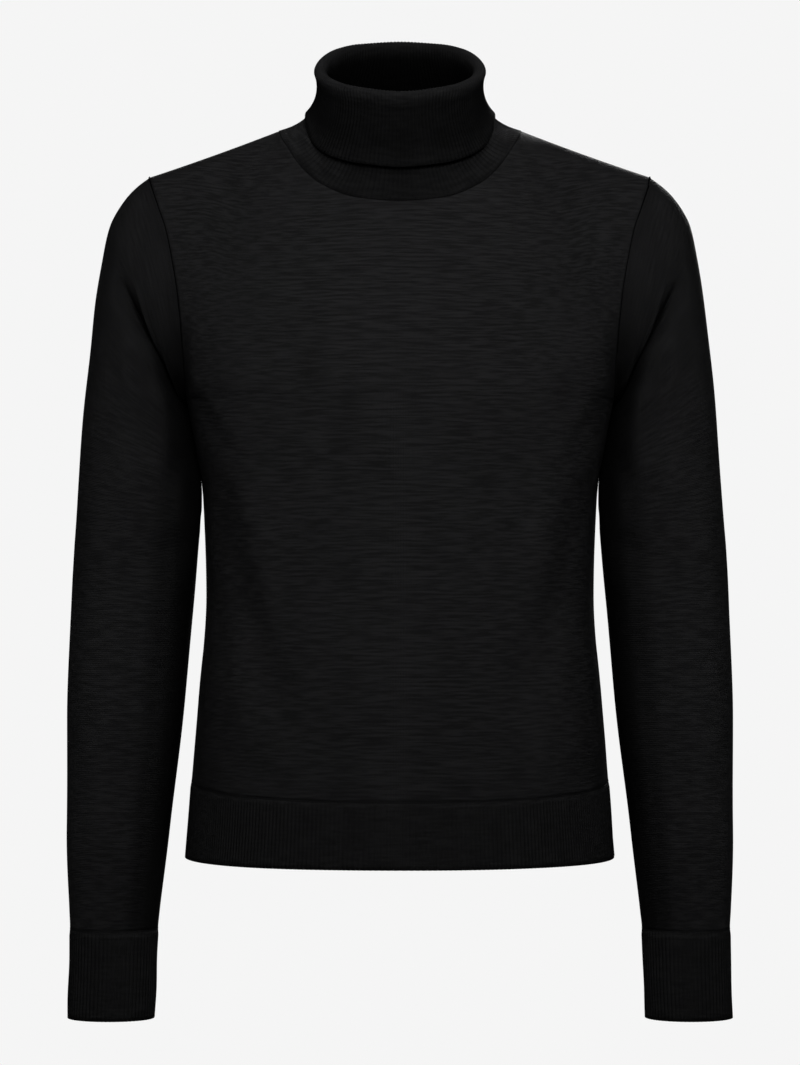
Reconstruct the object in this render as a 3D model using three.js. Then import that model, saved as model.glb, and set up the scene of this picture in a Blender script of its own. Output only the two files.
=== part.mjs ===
import * as THREE from 'three';

// A fold-over turtleneck pullover in a fine plain knit, filled out as if it were worn.
// Sizes are in millimetres. The origin is the middle of the neck base, level with the points
// where the shoulders meet the neck. +X is on the right of a person who looks at the front,
// +Y is towards the back and +Z is up.

const seamGap = 0.3;
const bodyWall = 1.2;
const ribWall = 1.5;
const ribRise = 0.6;
const linkedEdge = 2.5;

const hemRibs = 302;
const cuffRibs = 66;
const collarRibs = 142;

const hemBottom = -621;
const hemTopAtSides = -556;
const hemTopDipAtFront = 10;
const armpitHeight = -235;
const armpitHalfWidth = 181;

const shoulderTip = { x: 213, y: 6, z: -43 };
const neckPoint = { x: 103, y: 6, z: -4.8 };
const neckFront = -88;
const neckBack = 72;
const armholeHalfDepth = 58;

const bodySquareness = 2.35;
const bodyRows = [
  { z: -621, halfWidth: 181.6, front: 117, back: 110 },
  { z: -556, halfWidth: 176.6, front: 119, back: 112 },
  { z: -489, halfWidth: 171.0, front: 118, back: 108 },
  { z: -400, halfWidth: 164.4, front: 114, back: 99 },
  { z: -319, halfWidth: 167.0, front: 117, back: 104 },
  { z: -270, halfWidth: 174.3, front: 121, back: 111 },
  { z: -235, halfWidth: armpitHalfWidth, front: 123, back: 116 },
];

// Where the armhole seam runs, from the armpit to the shoulder tip.
const armholeRows = [
  { z: -235, x: armpitHalfWidth },
  { z: -215, x: 180.5 },
  { z: -185, x: 181.5 },
  { z: -150, x: 184.5 },
  { z: -120, x: 189.5 },
  { z: -93, x: 195.5 },
  { z: -72, x: 203 },
  { z: shoulderTip.z, x: shoulderTip.x },
];

// The neck seam by turn, from the middle of the front to the middle of the back.
const neckRows = [
  { turn: 0, z: -74 },
  { turn: 20, z: -70.5 },
  { turn: 40, z: -57 },
  { turn: 52, z: -43 },
  { turn: 70, z: -19 },
  { turn: 90, z: neckPoint.z },
  { turn: 130, z: -2 },
  { turn: 180, z: 1 },
];

// How the panels run into the top edge: sideways, backwards and up, by column.
const frontTopRows = [
  { column: 0, x: 0, y: 0.5, z: 0.87 },
  { column: 0.3, x: -0.42, y: 0.5, z: 0.76 },
  { column: 0.566, x: -0.66, y: 0.69, z: 0.215 },
  { column: 0.75, x: -0.2, y: 0.98, z: 0.07 },
  { column: 1, x: 0, y: 1, z: 0 },
];
const backTopRows = [
  { column: 0, x: 0, y: -0.35, z: 0.94 },
  { column: 0.3, x: -0.5, y: -0.4, z: 0.77 },
  { column: 0.566, x: -0.66, y: -0.69, z: 0.215 },
  { column: 0.75, x: -0.2, y: -0.98, z: 0.07 },
  { column: 1, x: 0, y: -1, z: 0 },
];
const neckColumn = 0.566;

// The sleeve and cuff, ring by ring. Each ring runs from its inner point to its outer point,
// which lie in the plane of the shoulders, and half its depth stands before and behind midY.
const armRows = [
  { at: 0, innerX: 181, innerZ: -235, outerX: 213, outerZ: -43, front: 58, back: 58, midY: 6 },
  { at: 0.06, innerX: 184, innerZ: -236, outerX: 225, outerZ: -52, front: 60, back: 61, midY: 5 },
  { at: 0.12, innerX: 185, innerZ: -238, outerX: 235.5, outerZ: -63, front: 61, back: 62, midY: 4 },
  { at: 0.18, innerX: 183, innerZ: -241, outerX: 244, outerZ: -80, front: 61, back: 62, midY: 3 },
  { at: 0.25, innerX: 178, innerZ: -245, outerX: 250.5, outerZ: -102, front: 61, back: 62, midY: 2 },
  { at: 0.36, innerX: 172, innerZ: -257, outerX: 257.7, outerZ: -149, front: 62, back: 61, midY: 0 },
  { at: 0.5, innerX: 163, innerZ: -290, outerX: 266.8, outerZ: -234, front: 60, back: 58, midY: -4 },
  { at: 0.6, innerX: 168.3, innerZ: -335, outerX: 273.2, outerZ: -319, front: 57, back: 55, midY: -6 },
  { at: 0.7, innerX: 174.6, innerZ: -406, outerX: 277.2, outerZ: -404, front: 53, back: 52, midY: -9 },
  { at: 0.8, innerX: 183.3, innerZ: -503, outerX: 280.7, outerZ: -503, front: 48, back: 47, midY: -16 },
  { at: 0.9, innerX: 193.9, innerZ: -596.5, outerX: 280.5, outerZ: -596.5, front: 39, back: 38, midY: -24 },
  { at: 1, innerX: 203.3, innerZ: -678.5, outerX: 277.1, outerZ: -678.5, front: 28, back: 28, midY: -30 },
  { at: 1.075, innerX: 204.6, innerZ: -716, outerX: 277.6, outerZ: -716, front: 26, back: 26, midY: -32 },
  { at: 1.15, innerX: 206.2, innerZ: -753, outerX: 278.4, outerZ: -753, front: 26, back: 26, midY: -34 },
];
const armClearance = 1;
const armPress = 3;

// The crease in front of and behind each armpit, as a trough along one ring of the sleeve.
const creaseRows = [
  { half: -1, at: 0.25, reach: 0.045, depth: 12, fadeFrom: 0.55, fadeTo: 0.8 },
  { half: 1, at: 0.235, reach: 0.05, depth: 9, fadeFrom: 0.5, fadeTo: 0.78 },
];

// Soft ridges and troughs across the panels, each from one place to another.
const foldRows = [
  { half: -1, fromX: -136, fromZ: -275, toX: -92, toZ: -452, width: 17, rise: 4 },
  { half: -1, fromX: -155, fromZ: -320, toX: -108, toZ: -452, width: 14, rise: -5 },
  { half: -1, fromX: -142, fromZ: -430, toX: -126, toZ: -512, width: 14, rise: 3.5 },
  { half: -1, fromX: 132, fromZ: -285, toX: 96, toZ: -440, width: 17, rise: 3.5 },
  { half: -1, fromX: 152, fromZ: -325, toX: 112, toZ: -445, width: 14, rise: -4.5 },
  { half: -1, fromX: 144, fromZ: -425, toX: 130, toZ: -500, width: 14, rise: 3 },
  { half: 1, fromX: -140, fromZ: -300, toX: -60, toZ: -420, width: 18, rise: -5 },
  { half: 1, fromX: 145, fromZ: -290, toX: 70, toZ: -400, width: 18, rise: -5 },
  { half: 1, fromX: -110, fromZ: -400, toX: 20, toZ: -455, width: 20, rise: 4 },
  { half: 1, fromX: 120, fromZ: -430, toX: 10, toZ: -485, width: 18, rise: -4 },
];

// The collar by turn: the crest of its roll and the lower edge of its fold-over.
const crestHalfWidth = 67.3;
const crestFront = -61;
const crestBack = 41;
const crestFrontHeight = 14.6;
const crestBackHeight = 72;
const rollRadius = 4.5;
const foldHalfWidth = 85.5;
const foldFront = -80.5;
const foldBack = 70;
const foldEdgeRows = [
  { turn: 0, z: -45 },
  { turn: 25, z: -41 },
  { turn: 40, z: -35 },
  { turn: 58, z: -23 },
  { turn: 75, z: -7 },
  { turn: 90, z: 3 },
  { turn: 105, z: 12 },
  { turn: 120, z: 17 },
  { turn: 135, z: 18.5 },
  { turn: 180, z: 20 },
];
// How far the stand carries on from the neck seam before it turns up, also beside the neck, where
// it starts flatter, and how far the fold-over draws in below the roll and stands off at its edge.
const standReach = 0.9;
const sideReach = 0.7;
const sideDip = 0.2;
const foldWaist = 0.3;
const foldFlare = 0.35;
const sideFlare = 0.8;

// How far the body's flare carries on above the armpit, and how strongly the columns near the
// armhole are drawn to it.
const armpitTuck = 0.1;
const armholePull = 2.2;
// How full the panels stand before they round over into the neck and the shoulder seams.
const neckRoundness = 60;
const sideRoundness = 70;
const shoulderRoundness = 90;
// The stretch of the sleeve over which its rings turn from the armhole's curve into plain ovals.
const armBlend = 0.2;

// How finely each piece is divided.
const panelColumns = 20;
const lowerRows = 5;
const upperRows = 10;
const neckSteps = 24;
const sleeveStops = [0, 0.04, 0.09, 0.14, 0.19, 0.22, 0.25, 0.28, 0.33, 0.42, 0.51, 0.6, 0.7, 0.8, 0.9, 1];
const cuffEnd = 1.15;

const wool = new THREE.Color(0.011, 0.011, 0.0115);
const knitRoughness = 0.9;

function clamp01(value) {
  return Math.min(Math.max(value, 0), 1);
}

function ease(value) {
  const t = clamp01(value);
  return t * t * (3 - 2 * t);
}

function steps(count, from = 0, to = 1) {
  return Array.from({ length: count + 1 }, (_, i) => from + ((to - from) * i) / count);
}

// A smooth curve through one column of a table, which never swings past its rows.
function curve(rows, along, column) {
  const x = rows.map((row) => row[along]);
  const y = rows.map((row) => row[column]);
  const slope = x.map((_, i) => {
    if (i === 0) return (y[1] - y[0]) / (x[1] - x[0]);
    if (i === x.length - 1) return (y[i] - y[i - 1]) / (x[i] - x[i - 1]);
    const before = (y[i] - y[i - 1]) / (x[i] - x[i - 1]);
    const after = (y[i + 1] - y[i]) / (x[i + 1] - x[i]);
    return before * after <= 0 ? 0 : (2 * before * after) / (before + after);
  });
  return (at) => {
    let i = 0;
    while (i < x.length - 2 && at > x[i + 1]) i += 1;
    const span = x[i + 1] - x[i];
    const t = (at - x[i]) / span;
    const rise = y[i] + (y[i + 1] - y[i]) * t * t * (3 - 2 * t);
    return rise + span * t * (1 - t) * (slope[i] * (1 - t) - slope[i + 1] * t);
  };
}

// A curve from one point to another that leaves along one direction and arrives along the other.
function hermite(from, leave, to, arrive, t) {
  const a = 2 * t * t * t - 3 * t * t + 1;
  const b = t * t * t - 2 * t * t + t;
  const c = -2 * t * t * t + 3 * t * t;
  const d = t * t * t - t * t;
  return new THREE.Vector3()
    .addScaledVector(from, a)
    .addScaledVector(leave, b)
    .addScaledVector(to, c)
    .addScaledVector(arrive, d);
}

// The outward direction of a surface, from two short steps along it.
function normalOf(surface, u, v, flip) {
  const step = 1e-3;
  const across = surface(u + step, v).sub(surface(u - step, v));
  const up = surface(u, v + step).sub(surface(u, v - step));
  return across.cross(up).normalize().multiplyScalar(flip);
}

// The body below the armpits

const bodyHalfWidth = curve(bodyRows, 'z', 'halfWidth');
const bodyFront = curve(bodyRows, 'z', 'front');
const bodyBack = curve(bodyRows, 'z', 'back');

// The body's section at one height: a squared ellipse, by column from -1 to 1 across one half.
function bodyPoint(half, column, z) {
  const angle = (column * Math.PI) / 2;
  const depth = half < 0 ? bodyFront(z) : bodyBack(z);
  const across = Math.sign(column) * Math.abs(Math.sin(angle)) ** (2 / bodySquareness);
  const out = Math.max(Math.cos(angle), 0) ** (2 / bodySquareness);
  return new THREE.Vector3(across * bodyHalfWidth(z), half * depth * out, z);
}

// How far the body reaches sideways at a given height and depth.
function bodySide(y, z) {
  const depth = y < 0 ? bodyFront(z) : bodyBack(z);
  const share = Math.min(Math.abs(y) / depth, 1) ** bodySquareness;
  return bodyHalfWidth(z) * (1 - share) ** (1 / bodySquareness);
}

// Armhole, shoulder and neck seams

const armholeX = curve(armholeRows, 'z', 'x');
const neckZ = curve(neckRows, 'turn', 'z');

function armholePoint(half, side, rise) {
  const angle = (rise - 0.5) * Math.PI;
  const middle = (armpitHeight + shoulderTip.z) / 2;
  const z = middle + ((shoulderTip.z - armpitHeight) / 2) * Math.sin(angle);
  const depth = armholeHalfDepth * (1 - 0.5 * Math.max(rise - 0.4, 0));
  const y = shoulderTip.y * ease(rise * 2) + half * depth * Math.max(Math.cos(angle), 0);
  return new THREE.Vector3(side * armholeX(z), y, z);
}

function neckSeam(turn) {
  const angle = (turn * Math.PI) / 180;
  const reach = Math.cos(angle) > 0 ? neckFront : neckBack;
  const y = neckPoint.y + (reach - neckPoint.y) * Math.abs(Math.cos(angle)) ** 0.95;
  return new THREE.Vector3(neckPoint.x * Math.sin(angle), y, neckZ(Math.abs(turn)));
}

function topEdge(half, column) {
  const side = Math.sign(column) || 1;
  const reach = Math.abs(column);
  if (reach <= neckColumn) {
    const quarter = (90 * reach) / neckColumn;
    const turn = half < 0 ? quarter : 180 - quarter;
    const point = neckSeam(turn);
    point.x *= side;
    return point;
  }
  const along = (reach - neckColumn) / (1 - neckColumn);
  const point = new THREE.Vector3().lerpVectors(neckPoint, shoulderTip, along);
  point.x *= side;
  return point;
}

const topCurves = [frontTopRows, backTopRows].map((rows) => ({
  x: curve(rows, 'column', 'x'),
  y: curve(rows, 'column', 'y'),
  z: curve(rows, 'column', 'z'),
}));

// The direction in which a panel runs into its top edge.
function topDirection(half, column) {
  const rows = topCurves[half < 0 ? 0 : 1];
  const reach = Math.abs(column);
  const side = Math.sign(column) || 1;
  return new THREE.Vector3(side * rows.x(reach), rows.y(reach), rows.z(reach)).normalize();
}

// Panels

function hemTop(half, column) {
  const dip = half < 0 ? hemTopDipAtFront * Math.cos((column * Math.PI) / 2) : 0;
  return hemTopAtSides - dip;
}

// One column above the armpit: it leaves the body upright and rounds over into the top edge.
function upperColumn(half, column, rise) {
  const from = bodyPoint(half, column, armpitHeight);
  const to = topEdge(half, column);
  const leave = from.clone().sub(bodyPoint(half, column, armpitHeight - 1));
  leave.multiplyScalar(to.z - from.z);
  leave.x *= armpitTuck;
  const reach = Math.abs(column);
  const shoulder = ease((reach - neckColumn) / 0.3);
  const roundness = neckRoundness + sideRoundness * reach + shoulderRoundness * shoulder;
  const arrive = topDirection(half, column).multiplyScalar(roundness);
  return hermite(from, leave, to, arrive, rise);
}

// The plain panel, before its folds. Level 0 is the hem seam, 1 the armpit and 2 the top edge.
// Above the armpit its columns are drawn towards the armhole seam, the outermost ones all the way.
function plainPanel(half, column, level) {
  if (level <= 1) {
    const bottom = hemTop(half, column);
    return bodyPoint(half, column, bottom + (armpitHeight - bottom) * level);
  }
  const rise = level - 1;
  const side = Math.sign(column) || 1;
  const pull = armholePoint(half, side, rise).sub(upperColumn(half, side, rise));
  return upperColumn(half, column, rise).addScaledVector(pull, Math.abs(column) ** armholePull);
}

// The height of the soft folds at one place, from the distance to each fold's middle line.
function foldHeight(half, x, z) {
  let height = 0;
  for (const fold of foldRows) {
    if (fold.half !== half) continue;
    const runX = fold.toX - fold.fromX;
    const runZ = fold.toZ - fold.fromZ;
    const along = ((x - fold.fromX) * runX + (z - fold.fromZ) * runZ) / (runX ** 2 + runZ ** 2);
    const near = clamp01(along);
    const offX = x - fold.fromX - near * runX;
    const offZ = z - fold.fromZ - near * runZ;
    const distance = Math.hypot(offX, offZ) / fold.width;
    height += fold.rise * Math.exp(-distance * distance);
  }
  return height;
}

function panelSurface(half) {
  const plain = (column, level) => plainPanel(half, column, level);
  return (column, level) => {
    const point = plain(column, level);
    const height = foldHeight(half, point.x, point.z);
    if (Math.abs(height) < 0.01) return point;
    return point.addScaledVector(normalOf(plain, column, level, -half), height);
  };
}

// The arm

const armCurves = Object.fromEntries(
  ['innerX', 'innerZ', 'outerX', 'outerZ', 'front', 'back', 'midY'].map((name) => [
    name,
    curve(armRows, 'at', name),
  ]),
);

function armholeRing(turn) {
  const half = turn <= 0.5 ? -1 : 1;
  const rise = turn <= 0.5 ? turn * 2 : (1 - turn) * 2;
  return armholePoint(half, 1, rise);
}

// The right-hand arm. Turn 0 is the side at the body, 0.25 the front, 0.5 outside and 0.75 the back.
function armPoint(turn, at) {
  const angle = turn * Math.PI * 2;
  const ring = Object.fromEntries(Object.entries(armCurves).map(([name, value]) => [name, value(at)]));
  const half = Math.sin(angle) >= 0 ? -1 : 1;
  const outward = (1 - Math.cos(angle)) / 2;
  const depth = half < 0 ? ring.front : ring.back;
  const point = new THREE.Vector3(
    ring.innerX + (ring.outerX - ring.innerX) * outward,
    ring.midY + half * depth * Math.abs(Math.sin(angle)) ** 0.92,
    ring.innerZ + (ring.outerZ - ring.innerZ) * outward,
  );
  for (const crease of creaseRows) {
    if (crease.half !== half) continue;
    const distance = (at - crease.at) / crease.reach;
    const fade = 1 - ease((outward - crease.fadeFrom) / (crease.fadeTo - crease.fadeFrom));
    point.y -= half * crease.depth * Math.exp(-distance * distance) * fade * ease(outward / 0.1);
  }
  if (at < armBlend) point.lerp(armholeRing(turn), 1 - ease(at / armBlend));
  if (point.z < armpitHeight && point.z > hemTopAtSides) {
    const least = bodySide(point.y, point.z) + armClearance;
    const press = clamp01(0.5 + (least - point.x) / (2 * armPress));
    const pushed = least > point.x ? least : point.x;
    point.x = pushed + armPress * press * (1 - press);
  }
  return point;
}

// The outward direction at the armhole seam, halfway between the panel's and the sleeve's.
function armholeSeam(half, rise) {
  const turn = half < 0 ? rise / 2 : 1 - rise / 2;
  const panel = normalOf(panelSurface(half), 0.985, 1 + Math.min(Math.max(rise, 0.01), 0.99), -half);
  const sleeve = normalOf(armPoint, turn, 0.02, -1);
  const normal = panel.add(sleeve).normalize();
  const before = armholePoint(half, 1, Math.max(rise - 0.01, 0));
  const run = armholePoint(half, 1, Math.min(rise + 0.01, 1)).sub(before);
  const away = run.cross(normal).normalize().multiplyScalar(-half);
  const inward = panelSurface(half)(0.9, 1 + rise);
  if (armPoint(turn, 0.06).sub(inward).dot(away) < 0) away.negate();
  return { point: armholePoint(half, 1, rise), normal, away };
}

// The collar

const foldEdgeZ = curve(foldEdgeRows, 'turn', 'z');

function ovalPoint(turn, halfWidth, front, back, z) {
  const angle = (turn * Math.PI) / 180;
  const middle = (front + back) / 2;
  const y = middle + ((front - back) / 2) * Math.cos(angle);
  return new THREE.Vector3(halfWidth * Math.sin(angle), y, z);
}

function crestPoint(turn) {
  const angle = (turn * Math.PI) / 180;
  const middle = (crestFrontHeight + crestBackHeight) / 2;
  const z = middle + ((crestFrontHeight - crestBackHeight) / 2) * Math.cos(angle);
  return ovalPoint(turn, crestHalfWidth, crestFront, crestBack, z);
}

// The direction in which the collar leaves the neck seam, square to the seam in the panel's plane.
function neckDirection(turn) {
  const fold = turn > 180 ? 360 - turn : turn;
  const half = fold <= 90 ? -1 : 1;
  const column = (neckColumn * (half < 0 ? fold : 180 - fold)) / 90;
  const toTop = topDirection(half, Math.max(column, 1e-6));
  const run = neckSeam(Math.min(fold + 1, 180)).sub(neckSeam(Math.max(fold - 1, 0))).normalize();
  const direction = toTop.addScaledVector(run, -toTop.dot(run)).normalize();
  if (turn > 180) direction.x *= -1;
  return direction;
}

function neckPointAt(turn) {
  const point = neckSeam(turn > 180 ? 360 - turn : turn);
  if (turn > 180) point.x *= -1;
  return point;
}

// The middle of the collar's wall. Level 0 is the neck seam, 1 the start of the roll,
// 2 its end and 3 the lower edge of the fold-over.
function collarPoint(turn, level) {
  const around = ((turn % 360) + 360) % 360;
  const angle = (around * Math.PI) / 180;
  const crest = crestPoint(around);
  const outward = new THREE.Vector3(Math.sin(angle), -Math.cos(angle) * 0.95, 0).normalize();
  const up = new THREE.Vector3(0, 0, 1).addScaledVector(outward, 0.1).normalize();
  const beside = Math.sin(angle) ** 4;
  if (level >= 1 && level <= 2) {
    const bend = (level - 1) * Math.PI;
    return crest
      .addScaledVector(outward, -rollRadius * Math.cos(bend))
      .addScaledVector(up, rollRadius * Math.sin(bend));
  }
  if (level < 1) {
    const start = neckPointAt(around);
    const end = crest.clone().addScaledVector(outward, -rollRadius);
    const rise = end.distanceTo(start);
    const leave = neckDirection(around);
    leave.z -= sideDip * beside;
    leave.normalize().multiplyScalar(rise * (standReach + sideReach * beside));
    return hermite(start, leave, end, up.clone().multiplyScalar(rise * standReach), level);
  }
  const start = crest.clone().addScaledVector(outward, rollRadius);
  const edgeHeight = foldEdgeZ(Math.min(around, 360 - around));
  const end = ovalPoint(around, foldHalfWidth, foldFront, foldBack, edgeHeight);
  const drop = end.distanceTo(start);
  const leave = up.clone().negate().addScaledVector(outward, -foldWaist);
  leave.normalize().multiplyScalar(drop);
  const arrive = new THREE.Vector3(0, 0, -1);
  arrive.addScaledVector(outward, foldFlare + sideFlare * beside);
  return hermite(start, leave, end, arrive.normalize().multiplyScalar(drop), level - 2);
}

// Closed walls, built from rows of points

class Shell {
  constructor() {
    this.points = [];
    this.index = [];
  }

  // A row holds the numbers of its points and each one's share of the way along it.
  row(points, shares) {
    const first = this.points.length;
    this.points.push(...points);
    return points.map((_, i) => ({ id: first + i, share: shares[i] }));
  }

  face(a, b, c) {
    if (a !== b && b !== c && a !== c) this.index.push(a, b, c);
  }

  // Faces between two rows of any length, always from the point that lags behind.
  band(rowA, rowB, closed = false) {
    const a = closed ? [...rowA, { id: rowA[0].id, share: 1 }] : rowA;
    const b = closed ? [...rowB, { id: rowB[0].id, share: 1 }] : rowB;
    let i = 0;
    let j = 0;
    while (i < a.length - 1 || j < b.length - 1) {
      const nextA = i < a.length - 1 ? a[i + 1].share : Infinity;
      const nextB = j < b.length - 1 ? b[j + 1].share : Infinity;
      const first = nextA <= 0.5 ? nextA <= nextB : nextA < nextB;
      if (first) {
        this.face(a[i].id, a[i + 1].id, b[j].id);
        i += 1;
      } else {
        this.face(a[i].id, b[j + 1].id, b[j].id);
        j += 1;
      }
    }
  }

  // The volume enclosed, whose sign tells which way the faces look.
  volume() {
    let total = 0;
    for (let i = 0; i < this.index.length; i += 3) {
      const [a, b, c] = this.index.slice(i, i + 3).map((id) => this.points[id]);
      total += a.dot(b.clone().cross(c)) / 6;
    }
    return total;
  }

  mesh(name) {
    if (this.volume() < 0) this.index.reverse();
    const geometry = new THREE.BufferGeometry();
    const flat = this.points.flatMap((point) => [point.x, point.y, point.z]);
    geometry.setAttribute('position', new THREE.Float32BufferAttribute(flat, 3));
    geometry.setIndex(this.index);
    geometry.computeVertexNormals();
    const look = { color: wool, roughness: knitRoughness, metalness: 0 };
    const material = new THREE.MeshStandardMaterial(look);
    const mesh = new THREE.Mesh(geometry, material);
    mesh.name = name;
    return mesh;
  }
}

// A wall round a tube or across a panel. Each row gives its points outside, then inside.
function closeWall(shell, outer, inner, closed) {
  const loop = [...outer, ...[...inner].reverse()];
  loop.forEach((row, i) => shell.band(row, loop[(i + 1) % loop.length], closed));
  if (closed) return;
  const side = (rows, pick, last) => rows.map((row, i) => ({
    id: row[pick(row)].id,
    share: i / last,
  }));
  for (const pick of [() => 0, (row) => row.length - 1]) {
    const outside = side(outer, pick, outer.length - 1);
    const inside = side(inner, pick, inner.length - 1);
    if (pick(outer[0]) === 0) shell.band(outside, inside);
    else shell.band(inside, outside);
  }
}

// Raised ribs: two points to a rib, on its crest and in the furrow beside it.
function ribShares(ribs) {
  return Array.from({ length: ribs * 2 }, (_, i) => (i + 0.5) / (ribs * 2));
}

function panel(half, name) {
  const surface = panelSurface(half);
  const columns = steps(panelColumns, -1, 1);
  const levels = [...steps(lowerRows).slice(0, -1), ...steps(upperRows, 1, 2)];
  const shell = new Shell();
  const sample = (column, level) => {
    const reach = Math.min(Math.abs(column), 0.999);
    const within = Math.sign(column) * reach;
    const safe = Math.min(Math.max(level, 0.002), 1.998);
    let point = surface(column, level);
    let normal = normalOf(surface, within, safe, -half);
    if (Math.abs(column) > 0.999) {
      if (level <= 1) point.y = half * seamGap / 2;
      else {
        const seam = armholeSeam(half, level - 1);
        point = seam.point.addScaledVector(seam.away, -seamGap / 2);
        normal = seam.normal;
        point.x *= Math.sign(column);
        normal.x *= Math.sign(column);
      }
    }
    if (level <= 0) point.z += seamGap / 2;
    if (level >= 2) point.addScaledVector(edgeAway(half, column), -seamGap / 2);
    return { point, normal };
  };
  const rowOf = (level, list, depth) => {
    const found = list.map((column) => sample(column, level));
    const points = found.map(({ point, normal }) => point.clone().addScaledVector(normal, -depth));
    return shell.row(points, list.map((column) => (column + 1) / 2));
  };
  const topColumns = [
    ...columns.filter((column) => column < -neckColumn - 0.02),
    ...steps(neckSteps, -neckColumn, neckColumn),
    ...columns.filter((column) => column > neckColumn + 0.02),
  ];
  const rows = (depth) => levels.map((level) => rowOf(level, level === 2 ? topColumns : columns, depth));
  closeWall(shell, rows(0), rows(bodyWall), false);
  return shell.mesh(name);
}

// The way across a panel's top edge: backwards over the shoulder, or into the collar.
function edgeAway(half, column) {
  if (Math.abs(column) > neckColumn + 1e-6) return new THREE.Vector3(0, -half, 0);
  const quarter = (90 * Math.abs(column)) / neckColumn;
  const away = neckDirection(half < 0 ? quarter : 180 - quarter);
  if (column < 0) away.x *= -1;
  return away;
}

function sleeve(side, name) {
  const shell = new Shell();
  const turns = steps(upperRows * 2).slice(0, -1);
  const sample = (turn, at) => {
    if (at > 0) {
      const normal = normalOf(armPoint, turn, Math.min(at, 0.995), -1);
      return { point: armPoint(turn, at), normal };
    }
    const half = turn <= 0.5 ? -1 : 1;
    const seam = armholeSeam(half, turn <= 0.5 ? turn * 2 : (1 - turn) * 2);
    return { point: seam.point.addScaledVector(seam.away, seamGap / 2), normal: seam.normal };
  };
  const rowOf = (at, depth) => {
    const points = turns.map((turn) => {
      const { point, normal } = sample(turn, at);
      if (at === 1) point.z += seamGap / 2;
      point.addScaledVector(normal, -depth);
      point.x *= side;
      return point;
    });
    return shell.row(points, turns);
  };
  const rows = (depth) => sleeveStops.map((at) => rowOf(at, depth));
  closeWall(shell, rows(0), rows(bodyWall), true);
  return shell.mesh(name);
}

function cuff(side, name) {
  const shell = new Shell();
  const plain = steps(upperRows * 2).slice(0, -1);
  const ribbed = ribShares(cuffRibs);
  const rowOf = (at, turns, depth, shift, raised) => {
    const points = turns.map((turn, i) => {
      const normal = normalOf(armPoint, turn, at, -1);
      const rise = raised ? ribRise * ((i + 1) % 2) : 0;
      const point = armPoint(turn, at).addScaledVector(normal, rise - depth);
      point.z += shift;
      point.x *= side;
      return point;
    });
    return shell.row(points, turns);
  };
  const outer = [
    rowOf(1, plain, 0, -seamGap / 2, false),
    rowOf(1, ribbed, 0, -linkedEdge, true),
    rowOf(cuffEnd, ribbed, 0, 0, true),
  ];
  const inner = [rowOf(1, plain, ribWall, -seamGap / 2, false), rowOf(cuffEnd, plain, ribWall, 0, false)];
  closeWall(shell, outer, inner, true);
  return shell.mesh(name);
}

function hem(half, name) {
  const shell = new Shell();
  const plain = steps(panelColumns);
  const ribbed = [0, ...ribShares(hemRibs / 2), 1];
  const surface = (column, drop) => {
    const top = hemTop(half, column);
    return bodyPoint(half, column, top + (hemBottom - top) * drop);
  };
  const rowOf = (drop, shares, depth, shift, raised) => {
    const points = shares.map((share, i) => {
      const column = share * 2 - 1;
      const reach = Math.sign(column) * Math.min(Math.abs(column), 0.999);
      const normal = normalOf(surface, reach, drop, half);
      const rise = raised ? ribRise * (i % 2) : 0;
      const point = surface(column, drop).addScaledVector(normal, rise - depth);
      point.z += shift;
      if (Math.abs(column) === 1) point.y = half * seamGap / 2;
      return point;
    });
    return shell.row(points, shares);
  };
  const outer = [
    rowOf(0, plain, 0, -seamGap / 2, false),
    rowOf(0, ribbed, 0, -linkedEdge, true),
    rowOf(1, ribbed, 0, 0, true),
  ];
  const inner = [rowOf(0, plain, ribWall, -seamGap / 2, false), rowOf(1, plain, ribWall, 0, false)];
  closeWall(shell, outer, inner, false);
  return shell.mesh(name);
}

// The collar's wall has two faces: one looks out at the stand and in under the fold-over,
// the other lies against the neck and shows on the roll and the fold-over.
function collar(name) {
  const shell = new Shell();
  const ribbed = ribShares(collarRibs);
  const plain = steps(neckSteps * 2).slice(0, -1);
  const surface = (turn, level) => collarPoint(turn, level);
  const rowOf = (level, shares, side, raised) => {
    const points = shares.map((share, i) => {
      const turn = share * 360;
      const at = Math.min(Math.max(level, 0.002), 2.998);
      const normal = normalOf(surface, turn, at, -side);
      const rise = raised ? ribRise * ((i + 1) % 2) : 0;
      const point = collarPoint(turn, level).addScaledVector(normal, ribWall / 2 + rise);
      if (level === 0) point.addScaledVector(neckDirection(turn), seamGap / 2);
      return point;
    });
    return shell.row(points, shares);
  };
  const standFace = [
    rowOf(0, plain, -1, false),
    rowOf(0.035, ribbed, -1, true),
    rowOf(0.33, ribbed, -1, true),
    ...[0.36, 0.55, 0.78, 1, 1.5, 2, 2.35, 2.7, 3].map((level) => rowOf(level, plain, -1, false)),
  ];
  const neckFace = [
    ...[0, 0.25, 0.5, 0.75].map((level) => rowOf(level, plain, 1, false)),
    ...[1, 1.33, 1.67, 2.05, 2.5, 3].map((level) => rowOf(level, ribbed, 1, true)),
  ];
  closeWall(shell, standFace, neckFace, true);
  return shell.mesh(name);
}

const pullover = new THREE.Group();
pullover.add(
  panel(-1, 'front_body'),
  panel(1, 'back_body'),
  hem(-1, 'front_hem_rib'),
  hem(1, 'back_hem_rib'),
  sleeve(-1, 'left_sleeve'),
  sleeve(1, 'right_sleeve'),
  cuff(-1, 'left_cuff'),
  cuff(1, 'right_cuff'),
  collar('collar_rib'),
);

export default pullover;
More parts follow.
